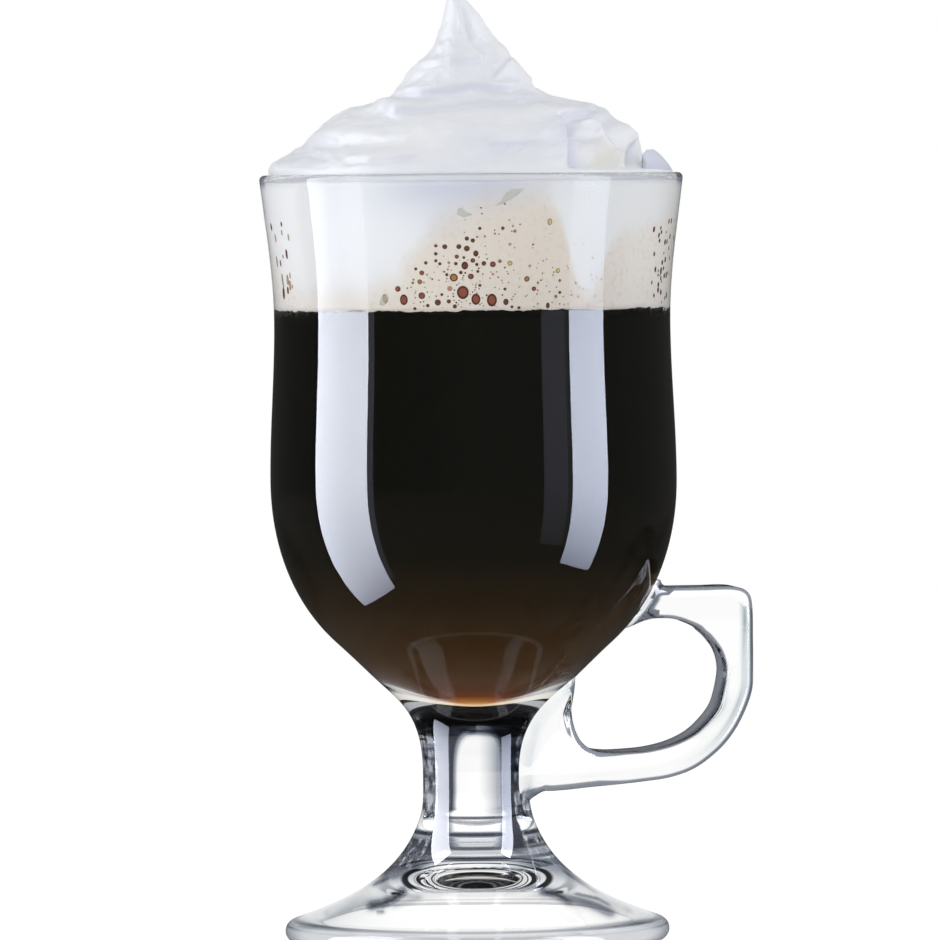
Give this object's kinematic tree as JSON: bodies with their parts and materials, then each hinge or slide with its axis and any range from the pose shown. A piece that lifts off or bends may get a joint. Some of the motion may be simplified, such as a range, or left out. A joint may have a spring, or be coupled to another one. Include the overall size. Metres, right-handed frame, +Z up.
{
  "type": "stemmed glass coffee mug",
  "caption": "Stemmed clear glass coffee mug with a loop handle and a trumpet foot, filled with black coffee, milk foam and a spooned crown of whipped cream.",
  "frame": {"origin": "on the axis of the bowl, in the plane of the ring that the foot rests on", "axes": "+Z up along the axis of the bowl, +X from that axis towards the handle, +Y square to the handle's flat side"},
  "size_m": [0.0892, 0.077, 0.1725],
  "materials": {
    "clear_glass": "fire-polished clear soda glass",
    "black_coffee": "dark clear liquid, wet gloss",
    "milk_foam": "soft beige foam with dark bubbles",
    "whipped_cream": "soft satin white cream"
  },
  "bodies": {
    "root": {"bowl": "clear_glass", "stem": "clear_glass", "foot": "clear_glass", "handle": "clear_glass", "coffee": "black_coffee", "milk_foam": "milk_foam", "whipped_cream": "whipped_cream"}
  },
  "joints": []
}
